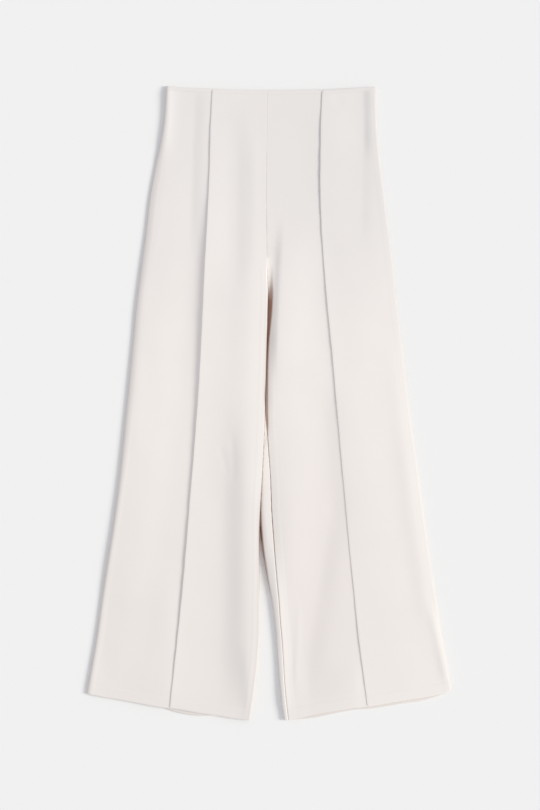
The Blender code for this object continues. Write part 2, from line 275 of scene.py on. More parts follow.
# One row for each level of the painted shade in the narrow fold between the legs: its left side
# and how softly that begins, its right side, and how dark the painted shade is (1 is darkest).
# The fold's deep shade is painted into the crepe's colour as a warm brown.
NARROW = table(
    "drop left soft right depth",
    (288, 4.0, 4.0, 5.6, 0.0),
    (300, 3.6, 4.0, 6.0, 0.12),
    (310, 3.0, 5.0, 6.0, 0.30),
    (323, 1.6, 6.0, 6.4, 0.55),
    (334, -0.3, 4.5, 6.8, 0.76),
    (345, -2.0, 1.6, 6.6, 0.88),
    (352, -2.3, 0.8, 6.2, 1.0),
    (372, -2.6, 0.8, 5.1, 1.0),
    (390, -3.2, 0.8, 3.4, 1.0),
    (416, -4.2, 0.8, 0.6, 1.0),
    (449, -5.2, 0.8, -1.0, 0.9),
    (482, -6.2, 0.8, -1.6, 0.82),
    (515, -7.4, 0.8, -1.8, 0.75),
    (535, -6.4, 0.8, -1.6, 0.85),
    (554, -5.2, 0.8, -1.2, 0.85),
    (575, -4.4, 1.6, -2.0, 0.35),
    (596, -9.6, 2.0, -7.0, 0.12),
    (634, -11.6, 1.6, -8.8, 0.18),
    (660, -13.2, 0.8, -10.6, 0.32),
    (693, -15.3, 0.8, -12.4, 0.65),
    (713, -16.1, 0.8, -12.2, 0.9),
    (736, -16.6, 0.8, -10.6, 1.0),
    (765, -16.6, 0.8, -7.4, 0.85),
    (800, -16.4, 0.8, -1.6, 0.55),
    (845, -16.0, 0.8, 4.6, 0.35),
    (890, -16.0, 0.8, 9.0, 0.1),
    (920, -16.0, 0.8, 12.0, 0.0),
)

# One row for each drop: how much painted shade darkens the crepe along the left leg's inseam
SEAM_PAINTED_SHADES = table(
    "drop amount",
    (500, 0.0),
    (540, 0.8),
    (560, 0.85),
    (594, 0.65),
    (634, 0.45),
    (673, 0.8),
    (713, 0.85),
    (745, 0.65),
    (800, 0.42),
    (917, 0.25),
    (960, 0.08),
    (1045, 0.0),
)

# One row for each drop: how tall the stitched tuck stands on each leg, and how far to the +X side
# of the panel's own tuck line its edge lies
TUCKS = table(
    "drop right_tall left_tall right_shift left_shift",
    (-5, 0.9, 1.1, 1.4, 2.0),
    (36, 1.2, 1.5, 1.7, 1.8),
    (70, 1.6, 2.0, 1.9, 1.9),
    (119, 1.35, 2.4, 3.0, 2.5),
    (185, 1.2, 2.1, 3.8, 2.1),
    (267, 1.1, 1.4, 4.0, 2.3),
    (350, 1.3, 1.5, 4.0, 2.4),
    (432, 1.4, 1.45, 4.1, 2.8),
    (515, 1.4, 1.35, 3.9, 2.6),
    (597, 1.4, 1.1, 3.5, 2.3),
    (680, 1.4, 0.95, 3.4, 2.0),
    (772, 1.6, 0.95, 3.8, 1.6),
    (845, 1.7, 1.1, 3.6, 2.2),
    (927, 1.6, 1.3, 3.1, 2.2),
    (985, 1.35, 1.0, 2.2, 1.9),
    (1045, 1.1, 0.8, 1.4, 1.9),
)
# Each tuck stands on a shoulder of the cloth: how high that is, and how quickly it falls away
# towards -X
SHOULDERS = table(
    "drop right_rise right_run left_rise left_run",
    (0, 0.0, 5.0, 0.0, 4.0),
    (100, 0.3, 3.6, 0.0, 4.0),
    (185, 1.8, 5.0, 0.0, 4.0),
    (267, 5.2, 7.4, 0.2, 4.0),
    (350, 5.2, 7.1, 0.7, 4.0),
    (432, 4.3, 5.6, 0.8, 4.0),
    (515, 2.9, 3.8, 0.7, 4.0),
    (597, 2.2, 3.6, 0.4, 4.0),
    (680, 1.7, 2.9, 0.3, 3.0),
    (762, 1.6, 2.5, 0.2, 3.0),
    (845, 1.1, 2.1, 0.3, 3.0),
    (927, 0.4, 1.8, 0.4, 2.5),
    (1045, 0.0, 1.8, 0.3, 2.5),
)

# How a front settles: it starts to sink this far from its folds, over this width, this much
Settle = namedtuple("Settle", "side side_run inner inner_run depth")
SETTLING = {
    "right": Settle(40, 50, 26, 40, 0.8),
    "left": Settle(60, 80, 40, 60, 0.4),
}
# One row for each drop: how far a front tapers down towards its side fold
TAPERS = table(
    "drop right left",
    (0, 0.0, 0.6),
    (150, 0.0, 1.0),
    (300, 0.0, 2.6),
    (440, 0.0, 2.6),
    (560, 0.0, 1.8),
    (1045, 0.0, 1.6),
)
TAPER_WIDTH = 90.0
TAPER_AT_EDGE = 0.4    # this share of a taper reaches the waist edge and the hem

# Powers of the folds' roundings: on top, then beneath, where the folds that face the light are
# undercut so that they show no bright rim
SIDE_POWER = {"right": ROUND, "left": SQUARED}
INNER_POWER = {"right": SQUARED, "left": ROUND}
UNDER_SIDE = {"right": ROUND, "left": UNDERCUT}
UNDER_INNER = {"right": UNDERCUT, "left": ROUND}

# A few soft patches change the crepe's tone: deeper and cooler towards the waist, more so high on
# the left leg, deeper low on the right leg, and deeper and pinker low on the left leg. One row for
# each soft patch: its middle and its reach across and along, how much of its colour it has there,
# and that colour.
TONE_PATCHES = table(
    "x y wide tall amount hex",
    (0, 640, 1500, 700, 0.46, "#E6E3E3"),
    (140, 400, 170, 360, 0.22, "#E2DFDE"),
    (-130, -450, 430, 560, 0.5, "#E9E4E0"),
    (84, -280, 110, 360, 0.45, "#F0E7E5"),
)

# The tuck is pressed over towards -X, so its folded edge hangs a little over the cloth there. One
# row for each point round that edge: its column beside the tuck's line, where it lies across,
# and its share of the tuck's height.
TUCK_EDGE = table(
    "column across up",
    *((across, across, 0.0) for across in (-4.0, -2.6, -1.7, -1.1)),
    (-0.7, -0.7, -0.02),
    (-0.45, -0.35, -0.12),
    (-0.35, -0.12, -0.08),
    (-0.25, -0.3, 0.12),
    (-0.15, -0.58, 0.3),
    (-0.05, -0.7, 0.52),
    (0.05, -0.6, 0.75),
    (0.15, -0.3, 0.92),
    (0.3, 0.15, 1.0),
    *((across, across, 1.0) for across in (0.6, 1.1, 1.8, 2.8, 4.0)),
)

# One row for each kind of stitch line: from one stitch to the next, and how much of each shows
STITCHINGS = table(
    "name pitch length",
    ("waist", 3.0, 2.3),
    ("tuck", 2.6, 2.0),
    ("hem", 7.0, 0.8),
)
TUCK_STITCH = 1.8      # the tuck is sewn down this far to the +X side of its edge
EDGE_STITCH = 1.0      # and a turning is held this far inside its raw edge

# The columns of a sheet's grid: their steps from a seam, then how many there are elsewhere
SEAM_STEPS = (0.0, 0.25, 0.5, 0.8, 1.2, 1.7, 2.4, 3.3, 4.4, 5.6, 6.8, 8.0, 9.2, 10.4, 11.6, 12.8,
              14.0, 15.3, 16.6, 18.0, 20.0, 22.5, 26.0)
OPEN_COLUMNS = 30      # in each open stretch of a front, and half as many again in a back
TUCK_COLUMN = len(SEAM_STEPS) + OPEN_COLUMNS   # the first of a front's columns on its tuck
ARC_POINTS = 48        # along one rounding of a path
LEVELS_READ = (-12, 1062, 2.0)   # drops at which a leg's path is worked out: from, to and step

# Rows of a sheet: inside the waist edge, down the leg (from, to and step) and above the hem
WAIST_ROWS = (2.2, 3, 3.8, 4.6, 5.4, 6, 6.5, 7, 7.5, 8, 8.6, 9.4, 10.6, 12.4, 15, 18)
LEG_ROWS = (21.5, 970.5, 3.6)
HEM_ROWS = (30, 27, 24.5, 22.8, 21.6, 20.8, 20, 19.2, 18.4, 17, 14.5, 11.5, 8.5, 6, 4, 2.6)
WAIST_TURN_ROWS, HEM_TURN_ROWS = 4, 6        # on the turned parts, behind those edges
BEND_POINTS = 9        # round a turned edge
WAIST_ZONE, LEG_ZONE, HEM_ZONE = range(3)
Rows = namedtuple("Rows", "zone drop inner_drop depth inner_depth")

# One face of a sheet, as grids: its path, the way inwards from it, and where each point lies
Face = namedtuple("Face", "x z in_x in_z drops depth below_waist above_hem places")

KEY_COLOUR = (1.03, 1.02, 0.94)              # the key is a little warmer than daylight
FILL_COLOUR = (0.985, 0.99, 1.03, 1.0)       # and the fill a little cooler

# Where a soft shape comes up or dies away: (the place where it starts or ends, over what width)
FREE_WAIST, FREE_HEM = (10.0, 60.0), (24.0, 70.0)      # the cloth lies free inside its turnings
CREASE_WAIST, CREASE_HEM = (1.0, 10.0), (10.0, 30.0)   # and creases run on further
CREASE_AT_HEM = 0.5    # this share of a crease reaches the hem
CREASE_FADE = 0.3      # share of a crease's length over which each end fades
BACK_FLAT = (8.0, 20.0)          # the back's creases keep clear of its folds
INSEAM_START = (480.0, 80.0)     # the rise seam's groove deepens into the inseam's
TUCK_WAIST, TUCK_HEM = (0.6, 3.4), (0.4, 3.0)          # the tuck comes up out of the turned edges
DART_WAIST, DART_POINT = (1.0, 3.0), (112.0, 14.0)

# Small shapes that sewing presses into the cloth. A groove has a depth and a half width.
RISE_DITCH = {"right": 0.06, "left": 0.3}
INSEAM_DITCH = 1.1     # along the other seams
DITCH_HALF = 0.7
SEAM_SINK = {"front": 2.2, "back": 0.9}      # the left leg sinks towards its inseam
SEAM_SINK_RUN = 12.0   # and comes up again over about this width
SEAM_SINK_START, SEAM_SINK_END = (500.0, 50.0), (880.0, 150.0)
ALLOWANCE, ALLOWANCE_EDGE = 15.0, 4.0        # a seam's turnings, pressed open inside, show as a step
ALLOWANCE_LIFT, SIDE_ALLOWANCE_LIFT = 0.15, 0.09
BAND_LIFT, BAND_EDGE = 0.25, 1.5             # and so do the turned waist edge and the hem
STITCH_GROOVE, HEM_PRICK = 0.18, 0.12
STITCH_GROOVE_HALF = 0.7
DART_GROOVE, DART_HALF = 0.5, 1.6
DART_ACROSS = 0.52     # share of the way from the rise seam to the side fold
DETAIL_REACH = 1.1     # all these are gone where the cloth has turned under by this thickness

TUCK_FOOT = 0.22       # the tuck lifts what lies this far to the +X side of its line
TUCK_RUN = 70.0        # and that lift dies away over this width
SHOULDER_RUN = 140.0   # as its shoulder does
HEM_SAG, HEM_SAG_RUN = 1.6, 30.0             # a hem sinks this much at its edge, over this height
LOWEST = -3.3          # a front sinks no deeper, so that it stays clear of the back

# Hand-made unevenness: the lengths of its waves and its size
TUCK_DRIFT = ((31, 57, 93), 0.16)            # in a tuck's height, as a share
LEAN_DRIFT = ((44, 120, 310), 0.3)           # and in how far it leans
SEEDS = {"right": 11, "left": 23}
CLOTH_WAVES = (46, 60, 85, 120, 170, 240)
CLOTH_SLANT = 0.5      # the most that a wave slants, in radians
CLOTH_STRETCH = 0.6    # and waves are longer down the cloth than across it
UNEVENNESS = {"front": (3, 0.14), "back": (5, 0.12)}   # the seed and the size

# How much painted shade darkens the crepe, as a share of the painted shade colour
SEAM_SHADE_HALF = 0.8   # half width along the left inseam
RIM_PAINTED_SHADE = {"right": 0.34, "left": 0.24}     # on the rims of the folds that face the light,
RIM_REACH, RIM_FALL = 12.0, 0.4              # this near the fold and this far below its top
RIM_TOP, RIM_TOP_END = 0.2, (6.0, 4.0)       # the right leg's rim has a share of it on top
RIM_START = (CROTCH, 60.0)
FLUSH_DROP, FLUSH_LENGTH = 600.0, 75.0       # and none where the legs lie flush
SHADE_TINT, SHADE_FALL = 0.1, 1.6            # on the side fold that faces away from the light
HEM_PAINTED_SHADE = {"front": 0.45, "back": 0.1}     # under the hems,
EDGE_START = 0.3       # from this share of the cloth's thickness
NARROW_FLANK, NARROW_SKIRT = 1.6, 9.0        # right flank of the narrow fold, and its soft skirt
CORE_SHARE, SKIRT_SHARE = 0.9, 0.1

FLOOR_HALF = 6.0       # metres
PAPER_TOOTH = 10 / 9   # from one tuft of its fibres to the next
PEBBLE_LENGTH = 1.7    # a pebble's length down the panel, as a share of its width
SHARP_ANGLE = math.radians(60)


def hex_linear(code):
    """Turn an sRGB hex colour into the linear values that shaders use."""
    channels = [int(code[k:k + 2], 16) / 255 for k in (1, 3, 5)]
    return [c / 12.92 if c <= 0.04045 else ((c + 0.055) / 1.055) ** 2.4 for c in channels] + [1.0]


def smooth(places, xs, ys):
    """Read the smooth curve through the points (xs, ys) at the given places."""
    xs, ys = np.asarray(xs, float), np.asarray(ys, float)
    slopes = np.gradient(ys, xs)
    places = np.clip(places, xs[0], xs[-1])
    k = np.clip(np.searchsorted(xs, places) - 1, 0, len(xs) - 2)
    step = xs[k + 1] - xs[k]
    t = (places - xs[k]) / step
    start = (1 + 2 * t) * (1 - t) ** 2 * ys[k] + t * (1 - t) ** 2 * step * slopes[k]
    end = t**2 * (3 - 2 * t) * ys[k + 1] - t**2 * (1 - t) * step * slopes[k + 1]
    return start + end


def read(rows, key, name, places):
    """Read one named column of a table at places along its key column."""
    keys, values = ([getattr(row, column) for row in rows] for column in (key, name))
    return smooth(places, keys, values)


def ease(value):
    """Rise smoothly from 0 to 1 as the value does."""
    t = np.clip(value, 0.0, 1.0)
    return t * t * (3 - 2 * t)


def after(start, width, place):
    """Rise smoothly from 0 at the start to 1 once the place is that width past it."""
    return ease((place - start) / width)


def until(end, width, place):
    """Fall smoothly from 1 to 0 over the width before the end."""
    return ease((end - place) / width)


def quarter(turn, power):
    """Cosine and sine of a rounding, squared where the power is below 1."""
    return np.clip(np.cos(turn), 0, 1) ** power, np.clip(np.sin(turn), 0, 1) ** power


def wander(along, seed, waves, size):
    """A slow, uneven drift along a line, the sum of a few long waves."""
    rng = np.random.default_rng(seed)
    total = np.zeros_like(along, dtype=float)
    for wave in waves:
        total += np.sin(along * 2 * math.pi / wave + rng.uniform(0, 2 * math.pi)) * rng.uniform(0.5, 1)
    return total * size / len(waves)


def unevenness(x, drop, seed, size):
    """The slight waviness of cloth that lies free, the same each time for a seed."""
    rng = np.random.default_rng(seed)
    total = np.zeros_like(x)
    for wave in CLOTH_WAVES:
        angle = rng.uniform(-CLOTH_SLANT, CLOTH_SLANT)
        across, down = math.cos(angle), math.sin(angle) * CLOTH_STRETCH
        phase = rng.uniform(0, 2 * math.pi)
        height = (wave / CLOTH_WAVES[-1]) ** 0.5
        total += np.sin((x * across + drop * down) * 2 * math.pi / wave + phase) * height
    return total * size * 2 / len(CLOTH_WAVES)


class Leg:
    """One leg's tube: its path across at each drop, from the side seam round to the inseam."""

    def __init__(self, name, inseam, hem, creases):
        self.name = name
        self.inseam = inseam
        self.hem = hem
        self.creases = creases
        self.inward = 1 if name == "right" else -1
        self.power = INNER_POWER[name]
        self.seed = SEEDS[name]

    def at(self, name, drops):
        """Where the side fold, the tuck, the inner fold or the inseam lies at each drop."""
        if name in ("side", "tuck"):
            return self.of_side(LEVELS, name, drops)
        values = read(self.inseam, "drop", name, drops)
        if name in ("roll", "height"):
            return values
        rise = read(RISE, "drop", "across", drops)
        return rise + (values - rise) * after(CROTCH, PARTED - CROTCH, drops)

    def of_side(self, rows, name, drops):
        """A column of a table that has one for each leg."""
        return read(rows, "drop", f"{self.name}_{name}", drops)

    def tuck_line(self, drops):
        """Where the tuck's edge lies across the garment."""
        return self.at("tuck", drops) + self.of_side(TUCKS, "shift", drops)

    def dive(self, drops):
        """0 where the rise seams lie on the garment, 1 where they are inseams."""
        return after(DIVE_START, CROTCH - DIVE_START, drops)

    def rounding(self, edge, width, tall, way, dive, upper, turns, power):
        """Points (x, z, inward x, inward z) along the rounding of one fold at each level."""
        across, up = quarter(turns, power)
        edge, width, tall, dive = edge[:, None], width[:, None], tall[:, None], dive[:, None]
        height = LOFT - tall if upper else -tall
        x = edge + way * width * np.sqrt(dive) * (1 - across)
        rise = 1 - dive * (1 - up)
        towards = -rise if upper else rise
        return np.stack([x, tall + height * rise, way * across * dive, towards], axis=-1)

    def seam_turn(self, drops):
        """Where the inseam lies on the rounding of the inner fold: 0 at the fold."""
        reach = np.abs(self.at("seam", drops) - self.at("fold", drops))
        across = np.clip(1 - reach / self.at("roll", drops), 0, 1) ** (1 / self.power)
        return np.arccos(across), np.maximum(0, reach - self.at("roll", drops))

    def path(self, panel, drops):
        """The outside of a front or back across the leg at each level."""
        way, share = self.inward, np.linspace(0, 1, ARC_POINTS)[None, :]
        whole = np.ones_like(drops)
        side, fold, roll, height = (self.at(name, drops) for name in ("side", "fold", "roll", "height"))
        side_roll, side_height = read(SIDE_ROLLS, "drop", self.name, drops), whole * SIDE_HEIGHT[self.name]
        dive, (turn, past) = self.dive(drops), self.seam_turn(drops)
        quarter_turn = np.repeat(share * math.pi / 2, len(drops), axis=0)
        if panel == "front":
            start = self.rounding(side, side_roll, side_height, way, whole, True, quarter_turn,
                                  SIDE_POWER[self.name])
            turns = math.pi / 2 + (turn[:, None] - math.pi / 2) * share
            end = self.rounding(fold, roll, height, -way, dive, True, turns, self.power)
            end[:, :, 0] -= way * past[:, None]
            return np.concatenate([start, end], axis=1)
        start = self.rounding(side, whole * UNDER_ROLL, side_height, way, whole, False, quarter_turn,
                              UNDER_SIDE[self.name])
        under = self.rounding(fold, whole * UNDER_ROLL, height, -way, dive, False,
                              quarter_turn[:, ::-1], UNDER_INNER[self.name])
        over = self.rounding(fold, roll, height, -way, dive, True, turn[:, None] * share, self.power)
        over[:, -1, 0] -= way * past
        return np.concatenate([start, under, over], axis=1)


def places_across(leg, panel, path, along, drops):
    """Where a sheet's columns lie along its path at each level."""
    steps = np.array(SEAM_STEPS)[None, :]
    total = along[:, -1:]
    start, end = steps + 0 * total, total - steps[:, ::-1]
    if panel == "back":
        count = OPEN_COLUMNS * 3 // 2
        share = np.linspace(0, 1, count + 2)[None, 1:-1]
        middle = start[:, -1:] + (end[:, :1] - start[:, -1:]) * share
        return np.concatenate([start, middle, end], axis=1)
    tuck = np.empty((len(drops), 1))
    for k, x in enumerate(leg.tuck_line(drops)):
        order = slice(None) if leg.inward > 0 else slice(None, None, -1)
        tuck[k] = np.interp(x, path[k, order, 0], along[k, order])
    ridge = tuck + np.array([row.column for row in TUCK_EDGE])[None, ::leg.inward] * leg.inward
    share = np.linspace(0, 1, OPEN_COLUMNS + 2)[None, 1:-1]
    short = start[:, -1:] + (ridge[:, :1] - start[:, -1:]) * share
    beyond = ridge[:, -1:] + (end[:, :1] - ridge[:, -1:]) * share
    return np.concatenate([start, short, ridge, beyond, end], axis=1)


class Grid:
    """A leg's path for one panel at close levels, read at any column and drop."""

    def __init__(self, leg, panel):
        self.levels = np.arange(*LEVELS_READ)
        path = leg.path(panel, self.levels)
        steps = np.hypot(np.diff(path[:, :, 0], axis=1), np.diff(path[:, :, 1], axis=1))
        along = np.concatenate([np.zeros((len(path), 1)), np.cumsum(steps, axis=1)], axis=1)
        self.places = places_across(leg, panel, path, along, self.levels)
        self.points = np.empty(self.places.shape + (4,))
        for k in range(len(path)):
            for part in range(4):
                self.points[k, :, part] = np.interp(self.places[k], along[k], path[k, :, part])
        self.widths = along[:, -1]
        self.columns = self.places.shape[1]

    def read(self, drops):
        """x, z, inward x, inward z and the place across at each row and column of drops."""
        just_short = len(self.levels) - 1.001
        at = np.clip((drops - self.levels[0]) / LEVELS_READ[2], 0, just_short)
        below = at.astype(int)
        share = (at - below)[..., None]
        column = np.broadcast_to(np.arange(self.columns)[None, :], drops.shape)
        low, high = self.points[below, column], self.points[below + 1, column]
        return low + (high - low) * share, self.places[below, column]

    def from_inseam(self, face):
        """How far each point of a face lies from the inseam along the cloth."""
        return np.interp(face.drops, self.levels, self.widths) - face.places


def rows_down(cloth):
    """The rows of a sheet, from its raw edge at the waist to its raw edge at the hem."""
    bend, small = cloth.thickness + TURN_GAP / 2, TURN_GAP / 2
    under, flat = (2 * bend, bend + small), (0, cloth.thickness)
    turned = [(bend * math.sin(a), small * math.sin(a), bend - bend * math.cos(a),
               bend - small * math.cos(a)) for a in np.linspace(0, math.pi, BEND_POINTS)]
    waist = [(cloth.waist_turn - k * (cloth.waist_turn - bend) / WAIST_TURN_ROWS,) * 2 + under
             for k in range(WAIST_TURN_ROWS)]
    waist += [(bend - out, bend - into, *depths) for out, into, *depths in turned[::-1]]
    waist += [(step, step) + flat for step in WAIST_ROWS]
    leg = [(drop, drop) + flat for drop in np.arange(*LEG_ROWS)]
    hem = [(-step, -step) + flat for step in HEM_ROWS]
    hem += [(out - bend, into - bend, *depths) for out, into, *depths in turned]
    hem += [(-bend - k * (cloth.hem_turn - bend) / HEM_TURN_ROWS,) * 2 + under
            for k in range(1, HEM_TURN_ROWS + 1)]
    zones = [WAIST_ZONE] * len(waist) + [LEG_ZONE] * len(leg) + [HEM_ZONE] * len(hem)
    return Rows(np.array(zones), *np.array(waist + leg + hem).T)


def true_drops(leg, panel, grid, zones, offsets):
    """Each point's drop and its distances from the waist edge and the hem, which its row slants to."""
    zone, offset = zones[:, None], np.repeat(offsets[:, None], grid.columns, axis=1)
    x = grid.read(np.where(zone == HEM_ZONE, OUTSEAM + offset, offset))[0][..., 0]
    waist, hem = (read(edge, "across", panel, x) for edge in (WAIST_EDGE, leg.hem))
    slanted = np.where(offset < WAIST_FAN, offset + waist * (1 - offset / WAIST_FAN), offset)
    fan = HEM_FAN + (offset - HEM_FAN) * (hem - HEM_FAN) / (OUTSEAM - HEM_FAN)
    slanted = np.where(offset > HEM_FAN, fan, slanted)
    drops = np.where(zone == WAIST_ZONE, waist + offset,
                     np.where(zone == HEM_ZONE, hem + offset, slanted))
    return drops, drops - waist, hem - drops


def crease_lift(creases, x, drop):
    """How far creases lift or sink the cloth at each point."""
    lift = np.zeros_like(x)
    for crease in creases:
        run, fall = crease.x1 - crease.x0, crease.drop1 - crease.drop0
        length = math.hypot(run, fall)
        t = ((x - crease.x0) * run + (drop - crease.drop0) * fall) / length**2
        off = ((x - crease.x0) * fall - (drop - crease.drop0) * run) / length
        off = off - crease.bow * np.sin(np.clip(t, 0, 1) * math.pi)
        half = np.where(off < 0, crease.left, crease.right)
        fade = ease(t / CREASE_FADE) * ease((1 - t) / CREASE_FADE)
        lift += crease.rise * fade * np.exp(-((off / half) ** 2))
    return lift


def narrow_fold_shade(x, drop):
    """How much painted shade each point gets in the narrow fold between the legs, from 0 to 1."""
    left, soft, right, depth = (read(NARROW, "drop", name, drop) for name in NARROW[0]._fields[1:])
    begun = ease((x - left + soft / 2) / soft)
    core = begun * ease((right - x + NARROW_FLANK) / (2 * NARROW_FLANK))
    skirt = begun * ease((right - x + NARROW_SKIRT) / NARROW_SKIRT)
    return np.clip(depth * (CORE_SHARE * core + SKIRT_SHARE * skirt), 0, 1)


def paint_fold_shade(leg, panel, grid, face, rows, cloth):
    """How much painted shade darkens each point of a panel, from 0 to 1."""
    x, z, drops = face.x, face.z, face.drops
    seam = read(SEAM_PAINTED_SHADES, "drop", "amount", drops)
    seam = seam * np.exp(-((grid.from_inseam(face) / SEAM_SHADE_HALF) ** 2))
    to_side, to_fold = np.abs(x - leg.at("side", drops)), np.abs(x - leg.at("fold", drops))
    right = leg.name == "right"
    to_rim = to_fold if right else to_side
    rim = ease((LOFT - z) / RIM_FALL) * (to_rim < RIM_REACH)
    shade = np.zeros_like(x)
    if right:
        rim = np.maximum(rim, RIM_TOP * until(*RIM_TOP_END, to_rim))
        flush = np.exp(-(((drops - FLUSH_DROP) / FLUSH_LENGTH) ** 4))
        rim = rim * after(*RIM_START, drops) * (1 - flush)
        shade = SHADE_TINT * ease((LOFT - z) / SHADE_FALL) * (to_side < RIM_REACH)
    edge = HEM_PAINTED_SHADE[panel] * ease(rows.depth / cloth.thickness - EDGE_START) * (rows.zone == HEM_ZONE)
    # Painted shade in the narrow fold, along the inseam, on the rims, on the shaded side fold and under
    # the hems
    painted_shades = [narrow_fold_shade(x, drops), seam, RIM_PAINTED_SHADE[leg.name] * rim, shade]
    return np.maximum(np.maximum.reduce(painted_shades), edge[:, None])


def ditch(distance, depth, half):
    """A narrow groove with soft shoulders."""
    return -depth * np.exp(-((distance / half) ** 2))


def relief(leg, panel, face):
    """The large soft shapes of a panel, which both its faces share."""
    x, z, drops = face.x, face.z, face.drops
    free = after(*FREE_WAIST, face.below_waist) * after(*FREE_HEM, face.above_hem)
    at_hem = CREASE_AT_HEM + (1 - CREASE_AT_HEM) * after(*CREASE_HEM, face.above_hem)
    loose = after(*CREASE_WAIST, face.below_waist) * at_hem
    to_side, to_fold = np.abs(x - leg.at("side", drops)), np.abs(x - leg.at("fold", drops))
    settle = SETTLING[leg.name]
    taper = read(TAPERS, "drop", leg.name, drops) * np.clip(1 - to_side / TAPER_WIDTH, 0, 1) ** 2
    sink = after(settle.side, settle.side_run, to_side) * settle.depth
    sink = sink * after(settle.inner, settle.inner_run, to_fold)
    lift = crease_lift(leg.creases, x, drops) + unevenness(x, drops, *UNEVENNESS["front"]) * free
    beyond = x - leg.tuck_line(drops)
    rise, run = (leg.of_side(SHOULDERS, name, drops) for name in ("rise", "run"))
    lift = lift + rise * np.exp(-np.abs(beyond) / np.where(beyond > 0, SHOULDER_RUN, run))
    lift = lift - HEM_SAG * until(HEM_SAG_RUN, HEM_SAG_RUN, face.above_hem)
    if leg.name == "left":
        to_seam = np.abs(x - leg.at("seam", drops))
        sunk = after(*SEAM_SINK_START, drops) * until(*SEAM_SINK_END, drops)
        lift = lift - SEAM_SINK[panel] * np.exp(-to_seam / SEAM_SINK_RUN) * sunk
    taper = taper * (TAPER_AT_EDGE + (1 - TAPER_AT_EDGE) * free)
    shape = np.maximum(lift * loose - sink * free - taper, LOWEST)
    height = np.where(to_side < to_fold, SIDE_HEIGHT[leg.name], leg.at("height", drops))
    standing, lifted = np.clip(z / height, 0, 1), np.clip((z - height) / (LOFT - height), 0, 1)
    shape = np.maximum(shape, 0) * standing + np.minimum(shape, 0) * lifted
    if panel == "back":
        flat = after(*BACK_FLAT, to_side) * after(*BACK_FLAT, to_fold) * (1 - standing)
        under = crease_lift(BACK_CREASES, x, drops) + unevenness(x, drops, *UNEVENNESS["back"])
        shape = shape + np.maximum(0, under) * free * flat
    return shape


def tuck_shape(leg, face, cloth):
    """The stitched tuck: its lift of both faces, then how the outer face moves across and up."""
    middle = TUCK_COLUMN + len(TUCK_EDGE) // 2
    line, top, bottom = (grid[:, middle] for grid in (face.drops, face.below_waist, face.above_hem))
    tall = leg.of_side(TUCKS, "tall", line) * cloth.tuck_height
    tall = tall * (1 + wander(line, leg.seed, *TUCK_DRIFT))
    tall = (tall * after(*TUCK_WAIST, top) * after(*TUCK_HEM, bottom))[:, None]
    beyond = face.x - leg.tuck_line(face.drops)
    fading = np.exp(-np.maximum(beyond, 0) / TUCK_RUN)
    lift = tall * fading * (beyond > TUCK_FOOT)
    lean = wander(line, leg.seed + 1, *LEAN_DRIFT)
    sideways, up = np.zeros_like(beyond), np.zeros_like(beyond)
    for column, point in enumerate(TUCK_EDGE[::leg.inward], TUCK_COLUMN):
        up[:, column] = tall[:, 0] * point.up * fading[:, column] - lift[:, column]
        moved = point.across - point.column + lean * point.up * (abs(point.column) < 1)
        sideways[:, column] = tall[:, 0] * moved
    return lift, sideways, up


def sewn_detail(leg, panel, grid, face, cloth):
    """How far sewing presses the outer face outwards (+) or inwards along its normal."""
    drops, from_side, from_inseam = face.drops, face.places, grid.from_inseam(face)
    rise_ditch = RISE_DITCH[leg.name]
    inner = rise_ditch + (INSEAM_DITCH - rise_ditch) * after(*INSEAM_START, drops)
    out = ditch(from_side, INSEAM_DITCH, DITCH_HALF) + ditch(from_inseam, inner, DITCH_HALF)
    out += ALLOWANCE_LIFT * until(ALLOWANCE, ALLOWANCE_EDGE, from_inseam) * leg.dive(drops)
    out += SIDE_ALLOWANCE_LIFT * until(ALLOWANCE, ALLOWANCE_EDGE, from_side)
    out += BAND_LIFT * until(cloth.waist_turn, BAND_EDGE, face.below_waist)
    out += BAND_LIFT * until(cloth.hem_turn, 2 * BAND_EDGE, face.above_hem)
    from_stitches = face.below_waist - cloth.waist_turn + EDGE_STITCH
    out += ditch(from_stitches, STITCH_GROOVE, STITCH_GROOVE_HALF)
    from_stitches = face.above_hem - cloth.hem_turn + EDGE_STITCH
    out += ditch(from_stitches, HEM_PRICK, STITCH_GROOVE_HALF)
    if panel == "back":
        dart = leg.at("fold", drops) + (leg.at("side", drops) - leg.at("fold", drops)) * DART_ACROSS
        length = until(*DART_POINT, face.below_waist) * after(*DART_WAIST, face.below_waist)
        out += ditch(face.x - dart, DART_GROOVE, DART_HALF) * length
    return out


def build_sheet(leg, panel, cloth):
    """A panel's outer and inner points, its outer face and how much painted shade it has, as grids."""
    grid, rows = Grid(leg, panel), rows_down(cloth)
    faces = []
    for offsets, depths in ((rows.drop, rows.depth), (rows.inner_drop, rows.inner_depth)):
        drops, below_waist, above_hem = true_drops(leg, panel, grid, rows.zone, offsets)
        path, places = grid.read(drops)
        depth = np.repeat(depths[:, None], grid.columns, axis=1)
        faces.append(Face(*np.moveaxis(path, -1, 0), drops, depth, below_waist, above_hem, places))
    outer = faces[0]
    shape, out = relief(leg, panel, outer), sewn_detail(leg, panel, grid, outer, cloth)
    sideways = up = 0.0
    if panel == "front":
        lift, sideways, up = tuck_shape(leg, outer, cloth)
        shape = shape + lift
    points = []
    for face in faces:
        x, z = face.x + face.in_x * face.depth, face.z + shape + face.in_z * face.depth
        if face is outer:
            showing = ease((cloth.thickness * DETAIL_REACH - face.depth) / cloth.thickness)
            x = x + (sideways - face.in_x * out) * showing
            z = z + (up - face.in_z * out) * showing
        points.append(np.stack([x, WAIST_Y - face.drops, np.maximum(z, 0)], axis=-1))
    return points, outer, paint_fold_shade(leg, panel, grid, outer, rows, cloth)


